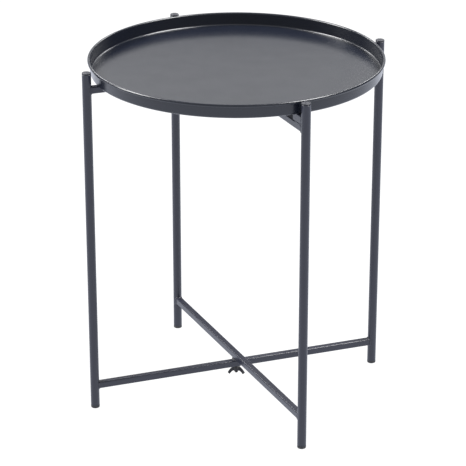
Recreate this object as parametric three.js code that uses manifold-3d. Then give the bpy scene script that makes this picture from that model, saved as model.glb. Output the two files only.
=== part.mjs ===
// Folding tray table: a round rimmed steel tray that rests on two leg frames.
// The frames cross on a vertical axis and fold flat about two pivot bolts.
// A wing nut under the lower crossing locks the opening angle.
//
// Units are millimetres and +Z is up. The origin is on the floor, on the pivot axis.
// The outer frame lies along X. The inner frame lies between the outer frame's bars.

import * as THREE from 'three';
import { mergeVertices } from 'three/addons/utils/BufferGeometryUtils.js';
import Module from 'manifold-3d';

const wasm = await Module();
wasm.setup();

// ---------------------------------------------------------------- driving dimensions

const HEIGHT = 520;
const OPEN_ANGLE = 85;
const GAP = 0.3;

// Legs: round tube with a plastic cap at each end.
const LEG_CIRCLE_RADIUS = 221.5;
const LEG_RADIUS = 6.5;
const LEG_WALL = 1;
const FOOT_HEIGHT = 4;
const FOOT_EDGE_RADIUS = 1.3;
const TOP_CAP_HEIGHT = 2;
const TOP_CAP_EDGE_RADIUS = 0.9;
const PLUG_LENGTH = 12;
const PLUG_TAPER = 1.2;

// Crossbars: square tube with rounded corners.
const BAR_WIDTH = 10;
const BAR_WALL = 0.8;
const BAR_CORNER_RADIUS = 1.6;
const BAR_STACK_GAP = 2.5;
const LOWER_OUTER_BAR_Z = 36;

// Tray: one sheet with an upright wall and a rim curled outwards.
const TRAY_RIM_RADIUS = 211.5;
const TRAY_DEPTH = 20.5;
const TRAY_SHEET = 0.8;
const TRAY_HEM_RADIUS = 2.2;
const TRAY_CORNER_RADIUS = 2.5;
const TRAY_SUPPORT_LENGTH = 23;

// Pivot hardware: M5 bolts whose heads are held inside the square tube.
const BOLT_RADIUS = 2.5;
const BOLT_LENGTH = 25;
const BOLT_HEAD_HEIGHT = 3.5;
const BOLT_HEAD_FLATS = 7.8;
const BOLT_TIP_CHAMFER = 0.7;
const SPACER_RADIUS = 6.5;
const WASHER_RADIUS = 5;
const WASHER_THICKNESS = 1;
const LOCK_NUT_FLATS = 8;
const LOCK_NUT_HEX_HEIGHT = 3.6;
const LOCK_NUT_COLLAR_HEIGHT = 1.4;
const LOCK_NUT_COLLAR_RADIUS = 3.7;

// Wing nut.
const WING_ANGLE = -21;
const WING_SPAN = 26;
const WING_DROP = 13;
const WING_SLOPE = 48;
const WING_TIP_WIDTH = 4.2;
const WING_THICKNESS = 2.8;
const HUB_TOP_RADIUS = 5.5;
const HUB_BOTTOM_RADIUS = 4.4;
const HUB_HEIGHT = 6.5;

// Facets round each kind of piece.
const TRAY_SEGMENTS = 84;
const TUBE_SEGMENTS = 28;
const HARDWARE_SEGMENTS = 20;
const CORNER_SEGMENTS = 3;

// ---------------------------------------------------------------- derived dimensions

const BORE_RADIUS = BOLT_RADIUS + GAP;
const PLUG_RADIUS = LEG_RADIUS - LEG_WALL - GAP;
const STACK_STEP = BAR_WIDTH + BAR_STACK_GAP;
const LOWER_INNER_BAR_Z = LOWER_OUTER_BAR_Z + STACK_STEP;
const TRAY_BOTTOM_Z = HEIGHT - TRAY_DEPTH;
const UPPER_OUTER_BAR_Z = TRAY_BOTTOM_Z - GAP - BAR_WIDTH / 2;
const UPPER_INNER_BAR_Z = UPPER_OUTER_BAR_Z - STACK_STEP;

// ---------------------------------------------------------------- materials

const metal = (color, roughness) => () => new THREE.MeshStandardMaterial({ color, roughness, metalness: 0.3 });
const plastic = (color, roughness) => () => new THREE.MeshStandardMaterial({ color, roughness, metalness: 0 });

const frameCoat = metal(0x3b3d44, 0.45);
const trayCoat = metal(0x34373f, 0.35);
const blackHardware = metal(0x1b1c1f, 0.4);
const blackPlastic = plastic(0x17181a, 0.6);
const nylon = plastic(0x26272a, 0.55);

// ---------------------------------------------------------------- geometry helpers

// A profile of [radius, height] points, turned about the Z axis.
function revolve(profile, segments) {
  const points = profile.map(([radius, height]) => new THREE.Vector2(radius, height));
  return new THREE.LatheGeometry(points, segments).rotateX(Math.PI / 2);
}

function cylinder(radius, bottom, top, segments = HARDWARE_SEGMENTS) {
  return revolve([[0, bottom], [radius, bottom], [radius, top], [0, top]], segments);
}

function ring(innerRadius, outerRadius, bottom, top, segments = HARDWARE_SEGMENTS) {
  const corners = [[innerRadius, bottom], [outerRadius, bottom], [outerRadius, top], [innerRadius, top]];
  return revolve([...corners, corners[0]], segments);
}

// A hexagonal prism on the Z axis with two of its flats facing along Y.
function hexPrism(acrossFlats, bottom, top) {
  const radius = acrossFlats / 2 / Math.cos(Math.PI / 6);
  const prism = new THREE.CylinderGeometry(radius, radius, top - bottom, 6);
  prism.rotateX(Math.PI / 2).rotateZ(Math.PI / 6);
  return prism.translate(0, 0, (bottom + top) / 2);
}

// Points on an arc in the profile plane, from one angle to another in degrees.
function arc(centre, radius, from, to, steps) {
  return Array.from({ length: steps + 1 }, (_, i) => {
    const angle = THREE.MathUtils.degToRad(from + ((to - from) * i) / steps);
    return [centre[0] + radius * Math.cos(angle), centre[1] + radius * Math.sin(angle)];
  });
}

function roundedRectangle(path, sizeX, sizeY, cornerRadius) {
  const flatX = sizeX / 2 - cornerRadius;
  const flatY = sizeY / 2 - cornerRadius;
  path.absarc(flatX, flatY, cornerRadius, 0, Math.PI / 2);
  path.absarc(-flatX, flatY, cornerRadius, Math.PI / 2, Math.PI);
  path.absarc(-flatX, -flatY, cornerRadius, Math.PI, Math.PI * 1.5);
  path.absarc(flatX, -flatY, cornerRadius, Math.PI * 1.5, Math.PI * 2);
  path.closePath();
  return path;
}

// A tube of the bars' width and wall along X, from one end to the other and from bottom to top.
function boxTube(start, end, bottom, top) {
  const height = top - bottom;
  const section = roundedRectangle(new THREE.Shape(), height, BAR_WIDTH, BAR_CORNER_RADIUS);
  section.holes.push(roundedRectangle(
    new THREE.Path(),
    height - 2 * BAR_WALL,
    BAR_WIDTH - 2 * BAR_WALL,
    BAR_CORNER_RADIUS - BAR_WALL,
  ));
  const tube = new THREE.ExtrudeGeometry(section, {
    depth: end - start,
    curveSegments: CORNER_SEGMENTS,
    bevelEnabled: false,
  });
  tube.rotateY(Math.PI / 2);
  return tube.translate(start, 0, (bottom + top) / 2);
}

// ---------------------------------------------------------------- booleans

function toSolid(geometry) {
  const bare = geometry.clone();
  bare.deleteAttribute('normal');
  bare.deleteAttribute('uv');
  const merged = mergeVertices(bare);
  const index = merged.index.array;
  const triangles = [];
  for (let i = 0; i < index.length; i += 3) {
    const [a, b, c] = [index[i], index[i + 1], index[i + 2]];
    if (a !== b && b !== c && c !== a) triangles.push(a, b, c);
  }
  const vertProperties = new Float32Array(merged.attributes.position.array);
  return new wasm.Manifold(new wasm.Mesh({ numProp: 3, vertProperties, triVerts: new Uint32Array(triangles) }));
}

function toGeometry(solid) {
  const { vertProperties, triVerts } = solid.getMesh();
  const geometry = new THREE.BufferGeometry();
  geometry.setAttribute('position', new THREE.BufferAttribute(new Float32Array(vertProperties), 3));
  geometry.setIndex(new THREE.BufferAttribute(new Uint32Array(triVerts), 1));
  geometry.computeVertexNormals();
  return geometry;
}

function join(...geometries) {
  return toGeometry(geometries.map(toSolid).reduce((sum, piece) => sum.add(piece)));
}

function cut(geometry, ...tools) {
  return toGeometry(tools.map(toSolid).reduce((rest, tool) => rest.subtract(tool), toSolid(geometry)));
}

function piece(name, geometry, material) {
  const mesh = new THREE.Mesh(geometry, material());
  mesh.name = name;
  return mesh;
}

// ---------------------------------------------------------------- legs

function legTube() {
  const bottom = FOOT_HEIGHT + GAP;
  const top = HEIGHT - TOP_CAP_HEIGHT - GAP;
  return ring(LEG_RADIUS - LEG_WALL, LEG_RADIUS, bottom, top, TUBE_SEGMENTS);
}

// A tube plug with its visible end at height zero and its stem rising into the tube.
function capProfile(flangeHeight, edgeRadius) {
  const plugTop = flangeHeight + PLUG_LENGTH;
  return [
    [0, 0],
    ...arc([LEG_RADIUS - edgeRadius, edgeRadius], edgeRadius, -90, 0, 3),
    [LEG_RADIUS, flangeHeight],
    [PLUG_RADIUS, flangeHeight],
    [PLUG_RADIUS, plugTop - PLUG_TAPER],
    [PLUG_RADIUS - PLUG_TAPER, plugTop],
    [0, plugTop],
  ];
}

function footCap() {
  return revolve(capProfile(FOOT_HEIGHT, FOOT_EDGE_RADIUS), HARDWARE_SEGMENTS);
}

function topCap() {
  const cap = revolve(capProfile(TOP_CAP_HEIGHT, TOP_CAP_EDGE_RADIUS), HARDWARE_SEGMENTS);
  return cap.rotateX(Math.PI).translate(0, 0, HEIGHT);
}

function addLeg(frame, side, x) {
  const leg = new THREE.Group();
  leg.position.x = x;
  leg.add(
    piece(`${side}_leg`, legTube(), frameCoat),
    piece(`${side}_foot`, footCap(), blackPlastic),
    piece(`${side}_top_cap`, topCap(), frameCoat),
  );
  frame.add(leg);
}

// ---------------------------------------------------------------- crossbars

// The space round a leg that a bar's end is coped to.
function copeTool(x) {
  return cylinder(LEG_RADIUS + GAP, 0, HEIGHT, TUBE_SEGMENTS).translate(x, 0, 0);
}

// The pivot hole goes through both walls, or through the bottom wall only when the
// bolt's head sits inside the tube.
function crossbar(height, holdsBoltHead) {
  const half = BAR_WIDTH / 2;
  const bar = boxTube(-LEG_CIRCLE_RADIUS, LEG_CIRCLE_RADIUS, height - half, height + half);
  const holeTop = holdsBoltHead ? height : height + BAR_WIDTH;
  const pivotHole = cylinder(BORE_RADIUS, height - BAR_WIDTH, holeTop);
  return cut(bar, copeTool(LEG_CIRCLE_RADIUS), copeTool(-LEG_CIRCLE_RADIUS), pivotHole);
}

// A short tube between an inner leg and the bar under it, which carries the tray level
// with the outer upper bar.
function traySupport() {
  const innerEnd = LEG_CIRCLE_RADIUS - LEG_RADIUS - TRAY_SUPPORT_LENGTH;
  const bottom = UPPER_INNER_BAR_Z + BAR_WIDTH / 2 + GAP;
  const top = UPPER_OUTER_BAR_Z + BAR_WIDTH / 2;
  const stub = boxTube(innerEnd, LEG_CIRCLE_RADIUS, bottom, top);
  return cut(stub, copeTool(LEG_CIRCLE_RADIUS));
}

// ---------------------------------------------------------------- pivot hardware

// The bolt hangs down from the bottom wall of the bar that holds its head.
function pivotBolt(barZ) {
  const seat = barZ - BAR_WIDTH / 2 + BAR_WALL + GAP;
  const tip = seat - BOLT_LENGTH;
  const shank = revolve([
    [0, tip],
    [BOLT_RADIUS - BOLT_TIP_CHAMFER, tip],
    [BOLT_RADIUS, tip + BOLT_TIP_CHAMFER],
    [BOLT_RADIUS, seat + BOLT_HEAD_HEIGHT / 2],
    [0, seat + BOLT_HEAD_HEIGHT / 2],
  ], HARDWARE_SEGMENTS);
  return join(shank, hexPrism(BOLT_HEAD_FLATS, seat, seat + BOLT_HEAD_HEIGHT));
}

function spacer(lowerBarZ) {
  const bottom = lowerBarZ + BAR_WIDTH / 2 + GAP;
  return ring(BORE_RADIUS, SPACER_RADIUS, bottom, bottom + BAR_STACK_GAP - 2 * GAP);
}

function washerUnder(barZ) {
  const top = barZ - BAR_WIDTH / 2 - GAP;
  return ring(BORE_RADIUS, WASHER_RADIUS, top - WASHER_THICKNESS, top);
}

function nutSeatUnder(barZ) {
  return barZ - BAR_WIDTH / 2 - WASHER_THICKNESS - 2 * GAP;
}

function lockNut(barZ) {
  const top = nutSeatUnder(barZ);
  const hexBottom = top - LOCK_NUT_HEX_HEIGHT;
  const collarBottom = hexBottom - LOCK_NUT_COLLAR_HEIGHT;
  const body = join(
    hexPrism(LOCK_NUT_FLATS, hexBottom, top),
    cylinder(LOCK_NUT_COLLAR_RADIUS, collarBottom, top - LOCK_NUT_HEX_HEIGHT / 2),
  );
  return cut(body, cylinder(BORE_RADIUS, collarBottom - 1, top + 1));
}

// One ear of the wing nut, in the plane of the nut's axis: it leaves the hub level and
// droops to a blunt tip cut square to its slope.
function wing() {
  const reach = WING_SPAN / 2;
  const slope = THREE.MathUtils.degToRad(WING_SLOPE);
  const tipWidth = [WING_TIP_WIDTH * Math.sin(slope), WING_TIP_WIDTH * Math.cos(slope)];
  const outerTip = [reach, tipWidth[1] - WING_DROP];
  const innerTip = [reach - tipWidth[0], -WING_DROP];
  const rootTop = [BORE_RADIUS + 1, -0.6];
  const rootBottom = [BORE_RADIUS + 1, -HUB_HEIGHT];
  const ear = new THREE.Shape();
  ear.moveTo(...rootTop);
  ear.bezierCurveTo(reach * 0.5, rootTop[1], reach * 0.74, -WING_DROP * 0.36, ...outerTip);
  ear.lineTo(...innerTip);
  ear.bezierCurveTo(reach * 0.63, -WING_DROP * 0.78, reach * 0.5, -WING_DROP * 0.6, ...rootBottom);
  ear.closePath();
  const bevel = WING_THICKNESS / 4;
  const blade = new THREE.ExtrudeGeometry(ear, {
    depth: WING_THICKNESS - 2 * bevel,
    curveSegments: 7,
    bevelThickness: bevel,
    bevelSize: bevel,
    bevelOffset: -bevel,
    bevelSegments: 1,
  });
  blade.translate(0, 0, bevel - WING_THICKNESS / 2);
  return blade.rotateX(Math.PI / 2);
}

function wingNut() {
  const hub = revolve([
    [0, -HUB_HEIGHT],
    [HUB_BOTTOM_RADIUS, -HUB_HEIGHT],
    [HUB_TOP_RADIUS, -1],
    [HUB_TOP_RADIUS, 0],
    [0, 0],
  ], HARDWARE_SEGMENTS);
  const nut = cut(join(hub, wing(), wing().rotateZ(Math.PI)), cylinder(BORE_RADIUS, -HUB_HEIGHT - 1, 1));
  nut.rotateZ(THREE.MathUtils.degToRad(WING_ANGLE));
  return nut.translate(0, 0, nutSeatUnder(LOWER_OUTER_BAR_Z));
}

// ---------------------------------------------------------------- tray

// The sheet's outline from the centre of its underside, out and up the wall, round the
// curled rim, and back down to the centre of its upper face.
function trayPan() {
  const floorTop = TRAY_BOTTOM_Z + TRAY_SHEET;
  const hemCentre = [TRAY_RIM_RADIUS - TRAY_HEM_RADIUS, HEIGHT - TRAY_HEM_RADIUS];
  const wallInside = hemCentre[0] - TRAY_HEM_RADIUS;
  const wallOutside = wallInside + TRAY_SHEET;
  const outerCorner = TRAY_CORNER_RADIUS + TRAY_SHEET;
  const cornerCentre = [wallInside - TRAY_CORNER_RADIUS, floorTop + TRAY_CORNER_RADIUS];
  const hemStart = -THREE.MathUtils.radToDeg(Math.acos((wallOutside - hemCentre[0]) / TRAY_HEM_RADIUS));
  return revolve([
    [0, TRAY_BOTTOM_Z],
    ...arc(cornerCentre, outerCorner, -90, 0, 3),
    ...arc(hemCentre, TRAY_HEM_RADIUS, hemStart, 180, 8),
    ...arc(cornerCentre, TRAY_CORNER_RADIUS, 0, -90, 3),
    [0, floorTop],
  ], TRAY_SEGMENTS);
}

// ---------------------------------------------------------------- assembly

const table = new THREE.Group();

const outerFrame = new THREE.Group();
addLeg(outerFrame, 'left', -LEG_CIRCLE_RADIUS);
addLeg(outerFrame, 'right', LEG_CIRCLE_RADIUS);
outerFrame.add(
  piece('outer_lower_bar', crossbar(LOWER_OUTER_BAR_Z, false), frameCoat),
  piece('outer_upper_bar', crossbar(UPPER_OUTER_BAR_Z, true), frameCoat),
  piece('upper_pivot_bolt', pivotBolt(UPPER_OUTER_BAR_Z), blackHardware),
  piece('upper_pivot_spacer', spacer(UPPER_INNER_BAR_Z), nylon),
  piece('upper_pivot_washer', washerUnder(UPPER_INNER_BAR_Z), blackHardware),
  piece('upper_lock_nut', lockNut(UPPER_INNER_BAR_Z), blackHardware),
);

const innerFrame = new THREE.Group();
innerFrame.rotation.z = -THREE.MathUtils.degToRad(OPEN_ANGLE);
addLeg(innerFrame, 'back', -LEG_CIRCLE_RADIUS);
addLeg(innerFrame, 'front', LEG_CIRCLE_RADIUS);
innerFrame.add(
  piece('inner_lower_bar', crossbar(LOWER_INNER_BAR_Z, true), frameCoat),
  piece('inner_upper_bar', crossbar(UPPER_INNER_BAR_Z, false), frameCoat),
  piece('front_tray_support', traySupport(), frameCoat),
  piece('back_tray_support', traySupport().rotateZ(Math.PI), frameCoat),
  piece('lower_pivot_bolt', pivotBolt(LOWER_INNER_BAR_Z), blackHardware),
  piece('lower_pivot_spacer', spacer(LOWER_OUTER_BAR_Z), nylon),
);

table.add(
  outerFrame,
  innerFrame,
  piece('tray_pan', trayPan(), trayCoat),
  piece('clamp_washer', washerUnder(LOWER_OUTER_BAR_Z), blackHardware),
  piece('wing_nut', wingNut(), blackHardware),
);

export default table;
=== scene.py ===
"""Looks for the folding tray table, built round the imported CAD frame.

Metres, +Z up, in the CAD frame. The outer frame lies along X. The inner frame is turned
about Z to the opening angle, which is read from where its front leg stands.
"""

import math
import random

import bmesh
import bpy
from mathutils import Matrix, Vector, noise


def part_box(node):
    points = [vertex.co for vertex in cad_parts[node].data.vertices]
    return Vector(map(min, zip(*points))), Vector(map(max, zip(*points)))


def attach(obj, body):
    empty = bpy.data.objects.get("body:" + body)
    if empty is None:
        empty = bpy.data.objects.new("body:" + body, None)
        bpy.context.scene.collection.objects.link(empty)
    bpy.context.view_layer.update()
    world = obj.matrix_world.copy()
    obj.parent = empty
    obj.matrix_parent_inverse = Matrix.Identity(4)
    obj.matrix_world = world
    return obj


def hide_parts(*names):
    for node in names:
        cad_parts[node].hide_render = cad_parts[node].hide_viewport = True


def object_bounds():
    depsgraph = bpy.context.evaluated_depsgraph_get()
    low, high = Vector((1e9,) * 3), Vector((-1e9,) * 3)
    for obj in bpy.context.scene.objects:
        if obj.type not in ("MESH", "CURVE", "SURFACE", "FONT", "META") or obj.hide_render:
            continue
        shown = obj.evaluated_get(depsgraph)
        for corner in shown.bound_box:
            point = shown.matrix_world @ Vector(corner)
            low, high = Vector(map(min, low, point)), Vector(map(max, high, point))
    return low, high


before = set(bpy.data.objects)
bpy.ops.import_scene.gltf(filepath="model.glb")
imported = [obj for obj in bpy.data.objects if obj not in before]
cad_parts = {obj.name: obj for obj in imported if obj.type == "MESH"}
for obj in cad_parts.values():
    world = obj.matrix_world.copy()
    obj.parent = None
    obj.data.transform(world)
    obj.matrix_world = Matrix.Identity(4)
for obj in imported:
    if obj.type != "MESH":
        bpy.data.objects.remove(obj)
cad_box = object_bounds()
cad_middle = (cad_box[0] + cad_box[1]) / 2

MM = 0.001

# ---------------------------------------------------------------- sizes from the frame


def centre(node):
    low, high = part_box(node)
    return (low + high) / 2


def width(node):
    low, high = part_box(node)
    return high.x - low.x


def heights(node):
    low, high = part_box(node)
    return low.z, high.z


LEG_RADIUS = width("left_leg") / 2
LEG_CIRCLE = centre("right_leg").xy.length
OUTER_ANGLE = 0.0
INNER_ANGLE = math.atan2(centre("front_leg").y, centre("front_leg").x)
BAR_HALF = (heights("outer_lower_bar")[1] - heights("outer_lower_bar")[0]) / 2
TRAY_RADIUS = width("tray_pan") / 2

# Sizes that the frame's boxes don't give, as on the CAD parts.
LEG_WALL = 1 * MM
BAR_WALL = 0.8 * MM
BAR_CORNER = 1.6 * MM
SUPPORT_LENGTH = 23 * MM
SHEET = 0.8 * MM
HEM_RADIUS = 2.2 * MM
TRAY_CORNER = 2.5 * MM
BORE_RADIUS = 2.8 * MM

# ---------------------------------------------------------------- mesh helpers

MERGE_DISTANCE = 1e-7
SHORTEST_EDGE = 1e-9
SHARP_ANGLE = 32
ROUND_STEPS = 48
FINE_STEPS = 64
CORNER_STEPS = 8
CUT_ROOM = 1 * MM


def arc(cx, cz, radius, start, end, steps):
    """Points on an arc from start to end degrees, both included."""
    angles = [math.radians(start + (end - start) * i / steps) for i in range(steps + 1)]
    return [(cx + radius * math.cos(a), cz + radius * math.sin(a)) for a in angles]


def ring_of(radius_at, height_at, segments=ROUND_STEPS):
    """A ring of points about Z whose radius and height may change with the angle."""
    points = []
    for i in range(segments):
        angle = math.tau * i / segments
        radius = radius_at(angle)
        points.append(Vector((radius * math.cos(angle), radius * math.sin(angle), height_at(angle))))
    return points


def round_ring(radius, height, segments=ROUND_STEPS):
    return ring_of(lambda angle: radius, lambda angle: height, segments)


def turn(angle):
    return Matrix.Rotation(angle, 4, "Z")


def finish_shading(obj, sharp=SHARP_ANGLE):
    """Smooth shading, except at edges that bend by more than sharp degrees."""
    obj.data.shade_smooth()
    obj.data.set_sharp_from_angle(angle=math.radians(sharp))


def close_mesh(name, bm, sharp=SHARP_ANGLE):
    """Makes an object from a bmesh: merged, facing out and shaded."""
    bmesh.ops.remove_doubles(bm, verts=bm.verts, dist=MERGE_DISTANCE)
    bmesh.ops.recalc_face_normals(bm, faces=bm.faces)
    mesh = bpy.data.meshes.new(name)
    bm.to_mesh(mesh)
    bm.free()
    obj = bpy.data.objects.new(name, mesh)
    bpy.context.scene.collection.objects.link(obj)
    finish_shading(obj, sharp)
    return obj


def loft(bm, rings, join_ends=False, caps=True):
    """Skins rings of equal length. join_ends makes a closed loop of rings; caps fills both ends."""
    made = [[bm.verts.new(point) for point in ring] for ring in rings]
    after = made[1:] + made[:1] if join_ends else made[1:]
    for a, b in zip(made, after):
        for i in range(len(a)):
            j = (i + 1) % len(a)
            bm.faces.new((a[i], a[j], b[j], b[i]))
    if caps and not join_ends:
        bm.faces.new(list(reversed(made[0])))
        bm.faces.new(made[-1])
    return made


def lofted(name, rings, join_ends=False, sharp=SHARP_ANGLE):
    """An object skinned over these rings."""
    bm = bmesh.new()
    loft(bm, rings, join_ends)
    return close_mesh(name, bm, sharp)


def lathe(name, profile, segments, hollow=False, sharp=SHARP_ANGLE):
    """Turns a (radius, height) profile about Z. A hollow profile closes on itself; a solid one
    starts and ends on the axis."""
    bm = bmesh.new()
    points = profile if hollow else profile[1:-1]
    rings = [round_ring(radius, height, segments) for radius, height in points]
    made = loft(bm, rings, join_ends=hollow, caps=False)
    if not hollow:
        for (_, height), ring in ((profile[0], made[0]), (profile[-1], made[-1])):
            tip = bm.verts.new((0, 0, height))
            for i in range(segments):
                bm.faces.new((ring[i], ring[(i + 1) % segments], tip))
    return close_mesh(name, bm, sharp)


def moved(obj, matrix):
    obj.data.transform(matrix)
    return obj


def apply_modifiers(obj):
    graph = bpy.context.evaluated_depsgraph_get()
    baked = bpy.data.meshes.new_from_object(obj.evaluated_get(graph))
    obj.modifiers.clear()
    obj.data = baked


def rod(bottom, top, radius, segments=ROUND_STEPS):
    """A plain round cutter on the Z axis."""
    return lathe("cutter", [(0, bottom), (radius, bottom), (radius, top), (0, top)], segments)


def subtract(obj, tool):
    """Cuts tool out of obj and throws the tool away."""
    cut = obj.modifiers.new("cut", "BOOLEAN")
    cut.operation = "DIFFERENCE"
    cut.solver = "EXACT"
    cut.object = tool
    apply_modifiers(obj)
    bpy.data.objects.remove(tool)
    finish_shading(obj)


# An edge as tight as this radius just begins to wear.
WEAR_RADIUS = 2.2 * MM
SMALLEST_REACH = 1e-6


def mark_wear(obj):
    """Stores how tightly the surface turns outwards at each vertex, for edge wear."""
    bm = bmesh.new()
    bm.from_mesh(obj.data)
    wear = [0.0] * len(bm.verts)
    for edge in bm.edges:
        if len(edge.link_faces) != 2 or edge.calc_length() < SHORTEST_EDGE:
            continue
        bend = edge.calc_face_angle_signed(0.0)
        if bend <= 0:
            continue
        reach = min(face.calc_area() / edge.calc_length() for face in edge.link_faces)
        worn = min(bend / max(reach, SMALLEST_REACH) * WEAR_RADIUS - 1, 1.0)
        for vert in edge.verts:
            wear[vert.index] = max(wear[vert.index], worn)
    bm.free()
    layer = obj.data.attributes.get("wear") or obj.data.attributes.new("wear", "FLOAT", "POINT")
    layer.data.foreach_set("value", wear)


# ---------------------------------------------------------------- materials

# Most of a noise texture's output lies between these.
NOISE_LOW = 0.3
NOISE_HIGH = 0.7

# A Mix node's colour sockets share their names with its number sockets, so they go by place.
MIX_A = 6
MIX_B = 7
MIX_RESULT = 2


def set_range(node, low, high, to_low, to_high):
    """Fills in the four ends of a Map Range node."""
    node.inputs["From Min"].default_value = low
    node.inputs["From Max"].default_value = high
    node.inputs["To Min"].default_value = to_low
    node.inputs["To Max"].default_value = to_high


def scaled(colour, gain, lift=0.0):
    return tuple(min(1.0, channel * gain + lift) for channel in colour)


class Nodes:
    """Short calls for building one material's node tree."""

    def __init__(self, name):
        self.material = bpy.data.materials.new(name)
        self.material.use_nodes = True
        self.tree = self.material.node_tree
        self.shader = self.tree.nodes["Principled BSDF"]
        self.place = self.tree.nodes.new("ShaderNodeTexCoord").outputs["Object"]

    def add(self, kind, **settings):
        node = self.tree.nodes.new(kind)
        for key, value in settings.items():
            setattr(node, key, value)
        return node

    def link(self, source, target):
        self.tree.links.new(source, target)

    def noise(self, scale, detail=3.0, rough=0.5):
        node = self.add("ShaderNodeTexNoise")
        node.inputs["Scale"].default_value = scale
        node.inputs["Detail"].default_value = detail
        node.inputs["Roughness"].default_value = rough
        self.link(self.place, node.inputs["Vector"])
        return node.outputs["Fac"]

    def remap(self, value, low, high, to_low, to_high):
        node = self.add("ShaderNodeMapRange")
        self.link(value, node.inputs["Value"])
        set_range(node, low, high, to_low, to_high)
        return node.outputs["Result"]

    def drift(self, lowest, highest, scale, detail, rough=0.5):
        """A number that wanders between two values over the surface."""
        return self.remap(self.noise(scale, detail, rough), NOISE_LOW, NOISE_HIGH, lowest, highest)

    def math(self, operation, a, b):
        node = self.add("ShaderNodeMath", operation=operation)
        for slot, value in zip(node.inputs, (a, b)):
            if isinstance(value, (int, float)):
                slot.default_value = value
            else:
                self.link(value, slot)
        return node.outputs["Value"]

    def mix_colour(self, share, a, b):
        """Goes from a to b, each a colour or a socket, as share goes from 0 to 1."""
        node = self.add("ShaderNodeMix", data_type="RGBA")
        self.link(share, node.inputs["Factor"])
        for index, value in ((MIX_A, a), (MIX_B, b)):
            if isinstance(value, tuple):
                node.inputs[index].default_value = (*value, 1)
            else:
                self.link(value, node.inputs[index])
        return node.outputs[MIX_RESULT]

    def bump(self, height, distance, strength, below=None):
        node = self.add("ShaderNodeBump")
        node.inputs["Distance"].default_value = distance
        node.inputs["Strength"].default_value = strength
        self.link(height, node.inputs["Height"])
        if below is not None:
            self.link(below, node.inputs["Normal"])
        return node.outputs["Normal"]

    def wear(self, scale, low, high):
        """Edge wear: the stored turn of the surface, broken up by noise."""
        turned = self.add("ShaderNodeAttribute", attribute_name="wear").outputs["Fac"]
        patchy = self.remap(self.noise(scale, detail=5, rough=0.65), low, high, 0, 1)
        return self.math("MULTIPLY", turned, patchy)


COAT_TONE_DRIFT = 0.06
COAT_THINNING = 0.7
COAT_EDGE_POLISH = 0.08
PEEL_DEPTH = 0.06 * MM
SPECK_DEPTH = 0.02 * MM
COAT_IOR = 1.5


def powder_coat(name, colour, worn_colour, smoothest, roughest, grain):
    """Baked powder coat: fine orange peel over a slow drift in tone and gloss, thin on edges."""
    n = Nodes(name)
    dark = scaled(colour, 1 - COAT_TONE_DRIFT)
    pale = scaled(colour, 1 + COAT_TONE_DRIFT)
    tone = n.mix_colour(n.drift(0, 1, scale=14, detail=4), dark, pale)
    worn = n.wear(scale=220, low=0.38, high=0.66)
    thin = n.math("MULTIPLY", worn, COAT_THINNING)
    n.link(n.mix_colour(thin, tone, worn_colour), n.shader.inputs["Base Color"])
    cloud = n.drift(smoothest, roughest, scale=30, detail=5, rough=0.6)
    polish = n.math("MULTIPLY", worn, COAT_EDGE_POLISH)
    n.link(n.math("SUBTRACT", cloud, polish), n.shader.inputs["Roughness"])
    peel = n.bump(n.noise(scale=650, detail=2), PEEL_DEPTH, grain)
    speck = n.bump(n.noise(scale=2400, detail=2, rough=0.7), SPECK_DEPTH, grain, below=peel)
    n.link(speck, n.shader.inputs["Normal"])
    n.shader.inputs["IOR"].default_value = COAT_IOR
    return n.material


ZINC_DARK = (0.018, 0.018, 0.02)
ZINC_PALE = (0.034, 0.033, 0.034)
BARE_STEEL = (0.2, 0.195, 0.19)
TOOL_MARK_DEPTH = 0.03 * MM
ZINC_METALLIC = 0.85


def black_zinc(name):
    """Black-passivated steel: faint tool marks, brighter bare steel on worn edges."""
    n = Nodes(name)
    tone = n.mix_colour(n.drift(0, 1, scale=180, detail=4), ZINC_DARK, ZINC_PALE)
    worn = n.wear(scale=420, low=0.35, high=0.75)
    n.link(n.mix_colour(worn, tone, BARE_STEEL), n.shader.inputs["Base Color"])
    smear = n.noise(scale=700, detail=5, rough=0.6)
    rough = n.remap(smear, low=0.25, high=0.75, to_low=0.3, to_high=0.5)
    n.link(rough, n.shader.inputs["Roughness"])
    marks = n.bump(n.noise(scale=1500, detail=3, rough=0.6), TOOL_MARK_DEPTH, strength=0.5)
    n.link(marks, n.shader.inputs["Normal"])
    n.shader.inputs["Metallic"].default_value = ZINC_METALLIC
    return n.material


SPECKLE_GAIN = 1.5
SCUFF_GAIN = 4
SCUFF_LIFT = 0.02
SPARK_DEPTH = 0.03 * MM
PLASTIC_IOR = 1.48


def moulded_plastic(name, colour, smoothest, roughest):
    """Moulded black plastic with a fine spark-eroded grain and scuffed edges."""
    n = Nodes(name)
    tone = n.mix_colour(n.noise(scale=60, detail=3), colour, scaled(colour, SPECKLE_GAIN))
    scuff = scaled(colour, SCUFF_GAIN, SCUFF_LIFT)
    worn = n.wear(scale=700, low=0.4, high=0.7)
    n.link(n.mix_colour(worn, tone, scuff), n.shader.inputs["Base Color"])
    n.link(n.drift(smoothest, roughest, scale=240, detail=4), n.shader.inputs["Roughness"])
    grain = n.bump(n.noise(scale=3200, detail=2, rough=0.8), SPARK_DEPTH, strength=0.6)
    n.link(grain, n.shader.inputs["Normal"])
    n.shader.inputs["IOR"].default_value = PLASTIC_IOR
    return n.material


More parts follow.
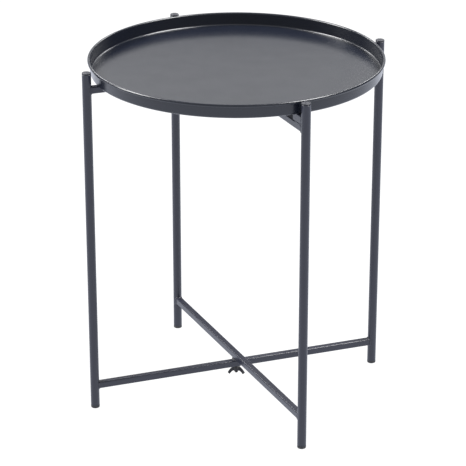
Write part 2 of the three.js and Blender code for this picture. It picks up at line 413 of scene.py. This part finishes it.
FRAME_COAT = powder_coat(
    "frame_powder_coat",
    colour=(0.014, 0.0155, 0.0265),
    worn_colour=(0.06, 0.062, 0.075),
    smoothest=0.30,
    roughest=0.37,
    grain=0.6,
)
# The top caps are painted like the legs. This copy of the coat is rougher, and its darker colour is painted
# shade that keeps the caps' upward faces from looking lighter than the legs.
SHADED_CAP_COAT = powder_coat(
    "cap_powder_coat",
    colour=(0.010, 0.011, 0.018),
    worn_colour=(0.05, 0.052, 0.06),
    smoothest=0.5,
    roughest=0.6,
    grain=0.6,
)
TRAY_COAT = powder_coat(
    "tray_powder_coat",
    colour=(0.0062, 0.0080, 0.0140),
    worn_colour=(0.05, 0.054, 0.068),
    smoothest=0.21,
    roughest=0.25,
    grain=0.4,
)
HARDWARE = black_zinc("black_zinc_steel")
FOOT_PLASTIC = moulded_plastic("foot_plastic", (0.012, 0.012, 0.013), smoothest=0.5, roughest=0.66)
NYLON = moulded_plastic("spacer_nylon", (0.02, 0.02, 0.022), smoothest=0.42, roughest=0.55)


def place(obj, body, material, slot, *nodes):
    """Finishes a piece: wear, material, the body it rides on and the CAD nodes it stands for."""
    mark_wear(obj)
    obj.data.materials.clear()
    obj.data.materials.append(material)
    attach(obj, body)
    if nodes:
        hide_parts(*nodes)


# ---------------------------------------------------------------- legs and their plugs

LEG_BODIES = {
    "left": "outer_frame",
    "right": "outer_frame",
    "front": "inner_frame",
    "back": "inner_frame",
}

EDGE = 0.25 * MM

# A narrow band beside an edge keeps the smooth shading of the long faces flat.
CALM = 1.2 * MM

FLANGE_GAP = 0.3 * MM
DISH_SHARE = 0.3
FOOT_EDGE = 1.3 * MM
FOOT_DISH = 0.4 * MM
CAP_EDGE = 0.9 * MM
CAP_DISH = 0.12 * MM
RIB_COUNT = 5
RIB_HEIGHT = 0.35 * MM
RIB_START = 1.2 * MM
RIB_END_ROOM = 3 * MM
RIB_CREST = 0.2
RIB_FOOT = 0.75
PLUG_TIP_LENGTH = 1 * MM
PLUG_TIP_TAPER = 1.4 * MM


def leg(name, body):
    bottom, top = heights(name)
    inner = LEG_RADIUS - LEG_WALL
    profile = [
        (inner, bottom),
        (LEG_RADIUS - EDGE, bottom),
        (LEG_RADIUS, bottom + EDGE),
        (LEG_RADIUS, bottom + EDGE + CALM),
        (LEG_RADIUS, top - EDGE - CALM),
        (LEG_RADIUS, top - EDGE),
        (LEG_RADIUS - EDGE, top),
        (inner, top),
    ]
    tube = lathe(f"{name}_tube", profile, FINE_STEPS, hollow=True)
    moved(tube, Matrix.Translation((*centre(name).xy, 0)))
    place(tube, body, FRAME_COAT, "frame_coat", name)


def plug_profile(flange, edge, dish, length):
    """A tube plug with its shown end at height zero: a rounded flange and a ribbed stem."""
    stem = LEG_RADIUS - LEG_WALL - FLANGE_GAP
    core = stem - RIB_HEIGHT
    end = flange + length
    dish_radius = LEG_RADIUS * DISH_SHARE
    pitch = (length - RIB_END_ROOM) / RIB_COUNT
    outline = [(0, dish), (dish_radius, dish), (dish_radius + dish, 0)]
    outline += arc(LEG_RADIUS - edge, edge, edge, -90, 0, CORNER_STEPS)
    outline += [(LEG_RADIUS, flange - EDGE), (LEG_RADIUS - EDGE, flange), (core, flange)]
    for i in range(RIB_COUNT):
        z = flange + RIB_START + i * pitch
        outline += [(core, z), (stem, z + RIB_CREST * pitch), (core, z + RIB_FOOT * pitch)]
    outline += [(core, end - PLUG_TIP_LENGTH), (stem - PLUG_TIP_TAPER, end), (0, end)]
    return outline


def foot(name, body):
    low, high = heights(name)
    flange = heights(name.replace("foot", "leg"))[0] - FLANGE_GAP
    profile = plug_profile(flange, FOOT_EDGE, FOOT_DISH, high - flange)
    plug = lathe(f"{name}_plug", profile, ROUND_STEPS)
    moved(plug, Matrix.Translation((*centre(name).xy, low)))
    place(plug, body, FOOT_PLASTIC, "foot_plastic", name)


def top_cap(name, body):
    low, high = heights(name)
    flange = high - heights(name.replace("top_cap", "leg"))[1] - FLANGE_GAP
    profile = plug_profile(flange, CAP_EDGE, CAP_DISH, high - low - flange)
    plug = lathe(f"{name}_plug", profile, ROUND_STEPS)
    moved(plug, Matrix.Translation((*centre(name).xy, high)) @ Matrix.Rotation(math.pi, 4, "X"))
    # The caps take the darker copy of the coat, whose darker colour is painted shade.
    place(plug, body, SHADED_CAP_COAT, "frame_coat", name)


for side, body in LEG_BODIES.items():
    leg(f"{side}_leg", body)
    foot(f"{side}_foot", body)
    top_cap(f"{side}_top_cap", body)

# ---------------------------------------------------------------- crossbars, supports and welds

FLAT_EDGE = 0.7 * MM
COPE_SINK = 0.15 * MM

WELD_STEPS = 220
WELD_SIDES = 14
WELD_RADIUS = 1.7 * MM
WELD_SINK = 0.55 * MM
WELD_RIPPLE = 1.7 * MM
RIPPLE_BOW = 0.9
BEAD_SHARP = 70
BEAD_MEAN = 0.94
BEAD_WAVE = 0.07
BEAD_DRIFT = 0.14
BEAD_NOISE_SCALE = 260

SEAM_STEPS = 60
SEAM_RADIUS = 1.0 * MM
SEAM_START = 5 * MM
SEAM_END = 1 * MM
SEAM_DROP = 0.15 * MM
SEAM_TALLNESS = 1.3
SEAM_TAPER_POWER = 8

# The square of a seam's thickness at its two ends, as a share of the full one.
SEAM_TIP = 0.0025


def tube_outline(half_width, half_height, corner):
    """Points of a rounded rectangle in (across, up), anticlockwise, with one near each end of a flat."""
    flat_y = half_width - corner
    flat_z = half_height - corner
    points = []
    for quarter, (sy, sz) in enumerate(((1, 1), (-1, 1), (-1, -1), (1, -1))):
        start = 90 * quarter
        points += arc(sy * flat_y, sz * flat_z, corner, start, start + 90, CORNER_STEPS)
        ahead = math.radians(start + 180)
        flat = 2 * (flat_z if quarter % 2 else flat_y)
        y, z = points[-1]
        for reach in (FLAT_EDGE, flat - FLAT_EDGE):
            points.append((y + reach * math.cos(ahead), z + reach * math.sin(ahead)))
    return points


def cope(across):
    """How far from a leg's axis a bar's surface meets the leg, at this distance off the bar's middle."""
    seat = LEG_RADIUS - COPE_SINK
    return math.sqrt(max(seat * seat - across * across, 0))


def box_tube(name, start, end, bottom, top, open_start):
    """A tube of the bars' width along X from start to end. The far end is coped to a leg, and
    so is the near one unless open_start is set."""
    half_height = (top - bottom) / 2
    height = (top + bottom) / 2
    outer = tube_outline(BAR_HALF, half_height, BAR_CORNER)
    inner = tube_outline(BAR_HALF - BAR_WALL, half_height - BAR_WALL, BAR_CORNER - BAR_WALL)

    def near(outline, back=0.0):
        if open_start:
            return [Vector((start + back, y, height + z)) for y, z in outline]
        return [Vector((start + cope(y) + back, y, height + z)) for y, z in outline]

    def far(outline, back=0.0):
        return [Vector((end - cope(y) - back, y, height + z)) for y, z in outline]

    rings = [near(outer), near(outer, CALM), far(outer, CALM), far(outer), far(inner), near(inner)]
    return lofted(name, rings, join_ends=True)


def outline_walk(outline, share):
    """The point that lies this share of the way round an outline, and its outward direction."""
    sides = list(zip(outline, outline[1:] + outline[:1]))
    lengths = [math.dist(a, b) for a, b in sides]
    left = share * sum(lengths)
    for (a, b), length in zip(sides, lengths):
        if left <= length and length > SHORTEST_EDGE:
            t = left / length
            along = ((b[0] - a[0]) / length, (b[1] - a[1]) / length)
            return (a[0] + (b[0] - a[0]) * t, a[1] + (b[1] - a[1]) * t), (along[1], -along[0])
        left -= length
    return outline[0], (1.0, 0.0)


def bead_swell(wave, drift):
    """A bead's radius as a share of its nominal one, from its ripple and its slow drift."""
    return BEAD_MEAN + BEAD_WAVE * wave + BEAD_DRIFT * drift


def weld_path(towards, half_height, height):
    """The middle line of a bead that follows the seam between a tube and its leg."""
    outline = tube_outline(BAR_HALF, half_height, BAR_CORNER)
    path = []
    for i in range(WELD_STEPS):
        (y, z), (ny, nz) = outline_walk(outline, i / WELD_STEPS)
        y -= ny * WELD_SINK
        z -= nz * WELD_SINK
        path.append(Vector((towards * LEG_CIRCLE - towards * cope(y), y, height + z)))
    return path


def weld(name, body, towards, bottom, top, angle, seed):
    """A bead round a tube where it meets a leg. towards is +1 or -1 along the tube, to the leg."""
    half_height = (top - bottom) / 2
    path = weld_path(towards, half_height, (top + bottom) / 2)
    phase = random.Random(seed).uniform(0, math.tau)
    ripples = round(4 * (BAR_HALF + half_height) / WELD_RIPPLE)
    rings = []
    for i, middle in enumerate(path):
        ahead = (path[(i + 1) % WELD_STEPS] - path[i - 1]).normalized()
        side = (middle - Vector((towards * LEG_CIRCLE, 0, middle.z))).normalized()
        side = (side - ahead * side.dot(ahead)).normalized()
        up = ahead.cross(side)
        drift = noise.noise(middle * BEAD_NOISE_SCALE + Vector((seed, 0, 0)))
        ring = []
        for k in range(WELD_SIDES):
            spin = math.tau * k / WELD_SIDES
            ripple = math.pi * ripples * i / WELD_STEPS + RIPPLE_BOW * math.cos(spin) + phase
            radius = WELD_RADIUS * bead_swell(abs(math.sin(ripple)), drift)
            ring.append(middle + (side * math.cos(spin) + up * math.sin(spin)) * radius)
        rings.append(ring)
    bead = moved(lofted(name, rings, join_ends=True, sharp=BEAD_SHARP), turn(angle))
    place(bead, body, FRAME_COAT, "frame_coat")


def support_seam(name, body, start, side, height, angle, seed):
    """A short bead along the joint between a tray support and the bar under it."""
    first = start + SEAM_START
    length = LEG_CIRCLE - LEG_RADIUS - SEAM_END - first
    spins = [math.tau * k / WELD_SIDES for k in range(WELD_SIDES)]
    rings = []
    for i in range(SEAM_STEPS + 1):
        share = i / SEAM_STEPS
        x = first + length * share
        taper = math.sqrt(max(1 - (2 * share - 1) ** SEAM_TAPER_POWER, SEAM_TIP))
        wave = abs(math.sin(math.pi * length * share / WELD_RIPPLE + seed))
        drift = noise.noise(Vector((x * BEAD_NOISE_SCALE, seed, side)))
        radius = SEAM_RADIUS * taper * bead_swell(wave, drift)
        middle = Vector((x, side * (BAR_HALF - WELD_SINK), height - SEAM_DROP))
        rings.append([middle + Vector((0, math.cos(a), SEAM_TALLNESS * math.sin(a))) * radius for a in spins])
    bead = moved(lofted(name, rings, sharp=BEAD_SHARP), turn(angle))
    place(bead, body, FRAME_COAT, "frame_coat")


def crossbar(name, body, angle, legs, holds_bolt_head, seed):
    """A bar between two legs with its bolt hole, which stays inside the bar under a bolt's head."""
    low, high = heights(name)
    bar = box_tube(f"{name}_tube", -LEG_CIRCLE, LEG_CIRCLE, low, high, open_start=False)
    hole_top = (low + high) / 2 if holds_bolt_head else high + CUT_ROOM
    subtract(bar, rod(low - CUT_ROOM, hole_top, BORE_RADIUS))
    moved(bar, turn(angle))
    place(bar, body, FRAME_COAT, "frame_coat", name)
    level = "lower" if "lower" in name else "upper"
    near_leg, far_leg = legs
    weld(f"{near_leg}_{level}_weld", body, -1, low, high, angle, seed)
    weld(f"{far_leg}_{level}_weld", body, 1, low, high, angle, seed + 1)


def tray_support(name, body, angle, seed):
    """A short tube from a leg inwards, on top of the upper bar, with a weld and two seams."""
    low, high = heights(name)
    start = LEG_CIRCLE - LEG_RADIUS - SUPPORT_LENGTH
    stub = box_tube(f"{name}_tube", start, LEG_CIRCLE, low, high, open_start=True)
    moved(stub, turn(angle))
    place(stub, body, FRAME_COAT, "frame_coat", name)
    weld(f"{name}_weld", body, 1, low, high, angle, seed)
    for side, hand in ((-1, "left"), (1, "right")):
        support_seam(f"{name}_seam_{hand}", body, start, side, low, angle, seed + side)


OUTER_LEGS = ("left", "right")
INNER_LEGS = ("back", "front")

crossbar("outer_lower_bar", "outer_frame", OUTER_ANGLE, OUTER_LEGS, holds_bolt_head=False, seed=1)
crossbar("outer_upper_bar", "outer_frame", OUTER_ANGLE, OUTER_LEGS, holds_bolt_head=True, seed=3)
crossbar("inner_lower_bar", "inner_frame", INNER_ANGLE, INNER_LEGS, holds_bolt_head=True, seed=5)
crossbar("inner_upper_bar", "inner_frame", INNER_ANGLE, INNER_LEGS, holds_bolt_head=False, seed=7)
tray_support("front_tray_support", "inner_frame", INNER_ANGLE, seed=20)
tray_support("back_tray_support", "inner_frame", INNER_ANGLE + math.pi, seed=30)

# ---------------------------------------------------------------- tray

TRAY_SEGMENTS = 300
TRAY_SHARP = 40
HEM_END = -108
HEM_INNER_STEPS = 22
HEM_OUTER_STEPS = 30
LIP_STEPS = 6
FLOOR_RINGS = 16
FLOOR_WAVE = 0.1 * MM
FLOOR_WAVE_SCALE = 9
FLOOR_WAVE_SLICE = 0.3


def tray_profile(low, high, flat_radius):
    """The sheet's section: out under the floor, up the wall, round the hem and back inside."""
    hem = (TRAY_RADIUS - HEM_RADIUS, high - HEM_RADIUS)
    corner = (flat_radius, low + SHEET + TRAY_CORNER)
    lip_turn = math.radians(HEM_END)
    lip_reach = HEM_RADIUS - SHEET / 2
    lip = (hem[0] + lip_reach * math.cos(lip_turn), hem[1] + lip_reach * math.sin(lip_turn))
    spread = [flat_radius * i / FLOOR_RINGS for i in range(1, FLOOR_RINGS)]
    return [
        (0, low),
        *[(radius, low) for radius in spread],
        *arc(*corner, TRAY_CORNER + SHEET, -90, 0, CORNER_STEPS),
        *arc(*hem, HEM_RADIUS - SHEET, 180, HEM_END, HEM_INNER_STEPS),
        *arc(*lip, SHEET / 2, HEM_END + 180, HEM_END + 360, LIP_STEPS)[1:-1],
        *arc(*hem, HEM_RADIUS, HEM_END, 180, HEM_OUTER_STEPS),
        *arc(*corner, TRAY_CORNER, 0, -90, CORNER_STEPS),
        *[(radius, low + SHEET) for radius in reversed(spread)],
        (0, low + SHEET),
    ]


def wave_floor(pan, low, flat_radius):
    """Gives the pressed floor its slight unevenness, which fades out at its edge."""
    for vert in pan.data.vertices:
        reach = vert.co.xy.length / flat_radius
        if reach < 1 and vert.co.z < low + 2 * SHEET:
            spot = Vector((vert.co.x * FLOOR_WAVE_SCALE, vert.co.y * FLOOR_WAVE_SCALE, FLOOR_WAVE_SLICE))
            vert.co.z += FLOOR_WAVE * (1 - reach * reach) ** 0.5 * noise.noise(spot)


def tray():
    low, high = heights("tray_pan")
    flat_radius = TRAY_RADIUS - 2 * HEM_RADIUS - TRAY_CORNER
    profile = tray_profile(low, high, flat_radius)
    pan = lathe("tray_pan_sheet", profile, TRAY_SEGMENTS, sharp=TRAY_SHARP)
    wave_floor(pan, low, flat_radius)
    place(pan, "tray", TRAY_COAT, "tray_coat", "tray_pan")


tray()

# ---------------------------------------------------------------- pivot hardware

HEX_CHAMFER_START = 0.97
HEX_CHAMFER_SLOPE = math.tan(math.radians(30))

BOLT_RADIUS = 2.5 * MM
BOLT_HEAD_FLATS = 7.8 * MM
BOLT_HEAD_HEIGHT = 3.5 * MM
BOLT_TIP_CHAMFER = 0.7 * MM
THREAD_LENGTH = 17 * MM
THREAD_PITCH = 0.8 * MM
THREAD_DEPTH = 0.45 * MM
THREAD_STEPS = 8
TIP_THREAD = 0.4

SPACER_EDGE = 0.3 * MM
WASHER_EDGE = 0.15 * MM

LOCK_NUT_FLATS = 8 * MM
LOCK_NUT_TURN = 0.3
COLLAR_HEIGHT = 1.4 * MM
COLLAR_FOOT_RADIUS = 3.7 * MM
DOME_RADIUS = 0.8 * MM
DOME_REACH = 2.9 * MM
DOME_DROP = 0.6 * MM
DOME_STEPS = 5
INSERT_MOUTH = 2.75 * MM
INSERT_BORE = 2.6 * MM
INSERT_CHAMFER = 0.25 * MM


def hexagon(flats):
    """The radius of a hexagon at an angle, with two flats facing along Y."""
    return lambda angle: flats / 2 / math.cos((angle % (math.pi / 3)) - math.pi / 6)


def hex_rings(flats, bottom, top):
    """Rings up the outside of a hexagon, with the usual 30 degree chamfer round its top."""
    side = hexagon(flats)
    circle = flats / 2 * HEX_CHAMFER_START
    return [
        ring_of(side, lambda angle: bottom),
        ring_of(side, lambda angle: top - (side(angle) - circle) * HEX_CHAMFER_SLOPE),
        round_ring(circle, top),
    ]


def thread_ring(tip, height):
    """One ring of a bolt's shank, with the helix's groove cut where the thread runs."""
    turns_up = (height - tip) / THREAD_PITCH
    lead_in = min(turns_up, 1.0)
    run_out = min(max((tip + THREAD_LENGTH - height) / THREAD_PITCH, 0.0), 1.0)
    crest = BOLT_RADIUS - BOLT_TIP_CHAMFER * (1 - lead_in)
    depth = THREAD_DEPTH * run_out * (TIP_THREAD + (1 - TIP_THREAD) * lead_in)

    def radius_at(angle):
        groove = abs((turns_up - angle / math.tau) % 1.0 * 2 - 1)
        return crest - depth * groove

    return ring_of(radius_at, lambda angle: height)


def pivot_bolt(name, body, angle):
    low, high = heights(name)
    seat = high - BOLT_HEAD_HEIGHT
    step = THREAD_PITCH / THREAD_STEPS
    rings = [thread_ring(low, low + i * step) for i in range(int((seat - low) / step))]
    rings.append(round_ring(BOLT_RADIUS, seat))
    rings += hex_rings(BOLT_HEAD_FLATS, seat, high)
    bolt = moved(lofted(f"{name}_steel", rings), turn(angle))
    place(bolt, body, HARDWARE, "black_hardware", name)


def washer(name, body, material, slot, edge):
    low, high = heights(name)
    outer = width(name) / 2
    profile = [
        (BORE_RADIUS, low),
        (outer - edge, low),
        (outer, low + edge),
        (outer, high - edge),
        (outer - edge, high),
        (BORE_RADIUS, high),
    ]
    place(lathe(f"{name}_ring", profile, FINE_STEPS, hollow=True), body, material, slot, name)


def lock_nut(name, body, angle):
    """A hexagon above a round collar, whose domed rim holds the nylon insert."""
    low, high = heights(name)
    collar = low + COLLAR_HEIGHT
    hexagon_down = reversed(hex_rings(LOCK_NUT_FLATS, collar, high))
    dome = arc(DOME_REACH, collar - DOME_DROP, DOME_RADIUS, 0, -90, DOME_STEPS)
    rings = [
        round_ring(BORE_RADIUS, high),
        *hexagon_down,
        round_ring(COLLAR_FOOT_RADIUS, collar),
        *[round_ring(radius, height) for radius, height in dome],
        round_ring(INSERT_MOUTH, low),
        round_ring(INSERT_BORE, low + INSERT_CHAMFER),
        round_ring(BORE_RADIUS, collar),
    ]
    nut = moved(lofted(f"{name}_steel", rings, join_ends=True), turn(angle))
    place(nut, body, HARDWARE, "black_hardware", name)


pivot_bolt("lower_pivot_bolt", "inner_frame", INNER_ANGLE)
pivot_bolt("upper_pivot_bolt", "outer_frame", OUTER_ANGLE)
washer("lower_pivot_spacer", "inner_frame", NYLON, "spacer_nylon", SPACER_EDGE)
washer("upper_pivot_spacer", "outer_frame", NYLON, "spacer_nylon", SPACER_EDGE)
washer("clamp_washer", "clamp", HARDWARE, "black_hardware", WASHER_EDGE)
washer("upper_pivot_washer", "outer_frame", HARDWARE, "black_hardware", WASHER_EDGE)
lock_nut("upper_lock_nut", "outer_frame", OUTER_ANGLE + LOCK_NUT_TURN)

# ---------------------------------------------------------------- wing nut

HUB_HEIGHT = 6.5 * MM
HUB_FOOT_RADIUS = 4.4 * MM
HUB_RADIUS = 5.5 * MM
HUB_SHOULDER = 1 * MM
EAR_REACH = 13 * MM
EAR_HALF_THICK = 1.25 * MM
EAR_SLOPE = math.radians(48)
EAR_TIP = 4.2 * MM
EAR_ROOT = BORE_RADIUS + 1 * MM
EAR_ROOT_DROP = 0.6 * MM
EAR_STEPS = 18

# Handles of an ear's curves, as shares of its reach and of its drop.
ROOT_HANDLE = (0.5, 0.6)
OUTER_HANDLE = (0.74, 0.36)
INNER_HANDLE = (0.63, 0.78)

CASTING_VOXEL = 0.24 * MM
CASTING_SMOOTHING = 0.5
CASTING_PASSES = 7
CASTING_SHARP = 50


def cubic(p0, p1, p2, p3, steps):
    """Points on a Bezier curve from p0 up to, but not including, p3."""
    points = []
    for i in range(steps):
        t = i / steps
        weights = ((1 - t) ** 3, 3 * t * (1 - t) ** 2, 3 * t * t * (1 - t), t ** 3)
        points.append(tuple(sum(w * p[k] for w, p in zip(weights, (p0, p1, p2, p3))) for k in (0, 1)))
    return points


def ear_outline(drop):
    """One ear's outline in (out, up) from the nut's seat, with a blunt tip square to its slope."""

    def handle(shares):
        return (EAR_REACH * shares[0], -drop * shares[1])

    outer_tip = (EAR_REACH, EAR_TIP * math.cos(EAR_SLOPE) - drop)
    inner_tip = (EAR_REACH - EAR_TIP * math.sin(EAR_SLOPE), -drop)
    root_top = (EAR_ROOT, -EAR_ROOT_DROP)
    root_bottom = (EAR_ROOT, -HUB_HEIGHT)
    root_level = (handle(ROOT_HANDLE)[0], -EAR_ROOT_DROP)
    upper = cubic(root_top, root_level, handle(OUTER_HANDLE), outer_tip, EAR_STEPS)
    lower = cubic(inner_tip, handle(INNER_HANDLE), handle(ROOT_HANDLE), root_bottom, EAR_STEPS)
    return [*upper, outer_tip, *lower, root_bottom]


def rough_casting(name, drop):
    """The hub and both ears, run through one another, with the seat at height zero."""
    bm = bmesh.new()
    outline = ear_outline(drop)
    for heading in (0, math.pi):
        rings = [[Vector((x, y, z)) for x, z in outline] for y in (-EAR_HALF_THICK, EAR_HALF_THICK)]
        made = loft(bm, rings)
        spin = Matrix.Rotation(heading, 3, "Z")
        bmesh.ops.rotate(bm, cent=(0, 0, 0), matrix=spin, verts=sum(made, []))
    hub = [(HUB_FOOT_RADIUS, -HUB_HEIGHT), (HUB_RADIUS, -HUB_SHOULDER), (HUB_RADIUS, 0)]
    loft(bm, [round_ring(radius, height) for radius, height in hub])
    return close_mesh(name, bm)


def fuse(obj):
    """Runs overlapping solids together into one soft-edged casting."""
    merge = obj.modifiers.new("fuse", "REMESH")
    merge.mode = "VOXEL"
    merge.voxel_size = CASTING_VOXEL
    soften = obj.modifiers.new("soften", "SMOOTH")
    soften.factor = CASTING_SMOOTHING
    soften.iterations = CASTING_PASSES
    apply_modifiers(obj)


def wing_nut(name, body):
    """Die-cast wing nut with two drooping ears, turned as the CAD one is, by its box's corner."""
    low, high = heights(name)
    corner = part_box(name)[1].xy
    nut = rough_casting(f"{name}_casting", high - low)
    fuse(nut)
    subtract(nut, rod(-HUB_HEIGHT - 2 * CUT_ROOM, 2 * CUT_ROOM, BORE_RADIUS, FINE_STEPS))
    moved(nut, Matrix.Translation((0, 0, high)) @ turn(math.atan2(-corner.y, corner.x)))
    finish_shading(nut, CASTING_SHARP)
    place(nut, body, HARDWARE, "black_hardware", name)


wing_nut("wing_nut", "wing_nut")

# ---------------------------------------------------------------- camera and floor

CAMERA_AZIMUTH = math.radians(-19.8)
CAMERA_ELEVATION = math.radians(22.8)
CAMERA_DISTANCE = 3.197
CAMERA_AIM = Vector((-0.0046, 0.0017, 0.247))
CAMERA_SENSOR = 36
CAMERA_LENS = 168.3
CAMERA_RANGE = 50

FLOOR_HALF = 12
FLOOR_DARK = (0.05, 0.05, 0.05)
FLOOR_PALE = (0.055, 0.055, 0.055)
FLOOR_ROUGH = 0.9
FLOOR_SPECULAR = 0.1
FLOOR_GLOW = 0.82
FLOOR_REFLECTED = (1.41, 1.48, 1.68)
FLOOR_SEEN = (1.2, 1.2, 1.2)


def camera():
    """A long lens from in front and above, with the front leg right of centre."""
    data = bpy.data.cameras.new("camera")
    obj = bpy.data.objects.new("camera", data)
    bpy.context.scene.collection.objects.link(obj)
    back = Vector((
        math.sin(CAMERA_AZIMUTH) * math.cos(CAMERA_ELEVATION),
        -math.cos(CAMERA_AZIMUTH) * math.cos(CAMERA_ELEVATION),
        math.sin(CAMERA_ELEVATION),
    ))
    obj.location = CAMERA_AIM + back * CAMERA_DISTANCE
    obj.rotation_mode = "QUATERNION"
    obj.rotation_quaternion = (-back).to_track_quat("-Z", "Y")
    data.sensor_width = CAMERA_SENSOR
    data.lens = CAMERA_LENS
    data.clip_end = CAMERA_RANGE
    bpy.context.scene.camera = obj


def floor():
    """A floor that is plain white to the camera, bluish to the table, and clear from below."""
    bm = bmesh.new()
    bmesh.ops.create_grid(bm, x_segments=1, y_segments=1, size=FLOOR_HALF)
    obj = close_mesh("studio_floor", bm)
    n = Nodes("pale_floor")
    n.link(n.mix_colour(n.noise(scale=3, detail=2), FLOOR_DARK, FLOOR_PALE), n.shader.inputs["Base Color"])
    n.shader.inputs["Roughness"].default_value = FLOOR_ROUGH
    n.shader.inputs["Specular IOR Level"].default_value = FLOOR_SPECULAR
    n.shader.inputs["Emission Strength"].default_value = FLOOR_GLOW
    by_camera = n.add("ShaderNodeLightPath").outputs["Is Camera Ray"]
    n.link(n.mix_colour(by_camera, FLOOR_REFLECTED, FLOOR_SEEN), n.shader.inputs["Emission Color"])
    from_below = n.add("ShaderNodeNewGeometry").outputs["Backfacing"]
    n.link(n.math("SUBTRACT", 1, from_below), n.shader.inputs["Alpha"])
    obj.data.materials.append(n.material)


# ---------------------------------------------------------------- studio light

FRONT_LIGHT = 0.6
BACK_LIGHT = 0.25
SIDE_SHADE = 0.35

BOX_DISTANCE = 2.4
BOX_SIZE = (1.5, 0.8)
LEFT_BOX_POWER = 86
RIGHT_BOX_POWER = 92
STRIP_SIZE = (0.7, 0.35)
STRIP_POWER = 9
STRIP_SIDEWAYS = 0.34
STRIP_AWAY = 0.73
STRIP_UP = 0.6

SCREEN_SIZE = (2.4, 0.44)
SCREEN_DISTANCE = 1.05
SCREEN_BOTTOM = 0.77
SCREEN_POWER = 2.75


def from_camera(right, away, up):
    """A direction given as the camera's right, away from it and up, in the table's frame."""
    side = Vector((math.cos(CAMERA_AZIMUTH), math.sin(CAMERA_AZIMUTH), 0))
    ahead = Vector((-math.sin(CAMERA_AZIMUTH), math.cos(CAMERA_AZIMUTH), 0))
    return (side * right + ahead * away + Vector((0, 0, up))).normalized()


ACROSS = from_camera(right=1, away=0, up=0)
BEHIND = from_camera(right=0, away=1, up=0)


def panel(name, size, place_at, facing, long_axis, power):
    """A flat light that shines against facing, its length lying along long_axis."""
    data = bpy.data.lights.new(name, "AREA")
    data.shape = "RECTANGLE"
    data.size, data.size_y = size
    data.energy = power
    obj = bpy.data.objects.new(name, data)
    bpy.context.scene.collection.objects.link(obj)
    length = (long_axis - facing * long_axis.dot(facing)).normalized()
    axes = Matrix((length, facing.cross(length), facing)).transposed()
    obj.matrix_world = Matrix.Translation(place_at) @ axes.to_4x4()
    obj.visible_camera = False


def softbox(name, size, direction, long_axis, power):
    """A panel that faces the table from this direction."""
    panel(name, size, cad_middle + direction * BOX_DISTANCE, direction, long_axis, power)


def hem_boxes():
    """The two big boxes that draw the highlights along the tray's hem."""
    left = from_camera(right=-0.67, away=0.18, up=0.77)
    right = from_camera(right=0.46, away=0.05, up=0.88)
    left_lean = from_camera(right=0.54, away=0.56, up=0.63)
    right_lean = from_camera(right=-0.49, away=0.84, up=0.24)
    softbox("left_box", BOX_SIZE, left, left_lean, LEFT_BOX_POWER)
    softbox("right_box", BOX_SIZE, right, right_lean, RIGHT_BOX_POWER)


def back_strips():
    """The two small lights behind that draw the light lines on the corners of the lower bars."""
    for name, sideways in (("left_strip", -STRIP_SIDEWAYS), ("right_strip", STRIP_SIDEWAYS)):
        softbox(name, STRIP_SIZE, from_camera(sideways, STRIP_AWAY, STRIP_UP), ACROSS, STRIP_POWER)


def screen():
    """An upright soft light behind the table, which the tray mirrors and the low bars don't."""
    middle = BEHIND * SCREEN_DISTANCE + Vector((0, 0, SCREEN_BOTTOM + SCREEN_SIZE[1] / 2))
    panel("back_screen", SCREEN_SIZE, middle, BEHIND, ACROSS, SCREEN_POWER)


def ramp(tree, towards, low, high, at_low, at_high):
    """A number that goes from at_low to at_high as the light comes from nearer one direction."""
    facing = tree.nodes.new("ShaderNodeTexCoord")
    near = tree.nodes.new("ShaderNodeVectorMath")
    near.operation = "DOT_PRODUCT"
    near.inputs[1].default_value = towards
    shade = tree.nodes.new("ShaderNodeMapRange")
    set_range(shade, low, high, at_low, at_high)
    tree.links.new(facing.outputs["Generated"], near.inputs[0])
    tree.links.new(near.outputs["Value"], shade.inputs["Value"])
    return shade.outputs["Result"]


def room():
    """A white room that is dimmer behind the table and on its right, and even to the camera."""
    world = bpy.data.worlds.new("studio")
    world.use_nodes = True
    tree = world.node_tree
    background = tree.nodes["Background"]
    background.inputs["Color"].default_value = (1, 1, 1, 1)
    back = from_camera(right=0, away=1, up=0.2)
    right = from_camera(right=0.96, away=0.28, up=0)
    depth = ramp(tree, back, low=-0.2, high=0.75, at_low=FRONT_LIGHT, at_high=BACK_LIGHT)
    sides = ramp(tree, right, low=0.6, high=0.9, at_low=1.0, at_high=SIDE_SHADE)
    both = tree.nodes.new("ShaderNodeMath")
    both.operation = "MULTIPLY"
    rays = tree.nodes.new("ShaderNodeLightPath")
    pick = tree.nodes.new("ShaderNodeMix")
    pick.inputs["B"].default_value = 1.0
    tree.links.new(depth, both.inputs[0])
    tree.links.new(sides, both.inputs[1])
    tree.links.new(rays.outputs["Is Camera Ray"], pick.inputs["Factor"])
    tree.links.new(both.outputs["Value"], pick.inputs["A"])
    tree.links.new(pick.outputs["Result"], background.inputs["Strength"])
    bpy.context.scene.world = world
    bpy.context.scene.view_settings.view_transform = "Standard"


camera()
floor()
room()
hem_boxes()
back_strips()
screen()
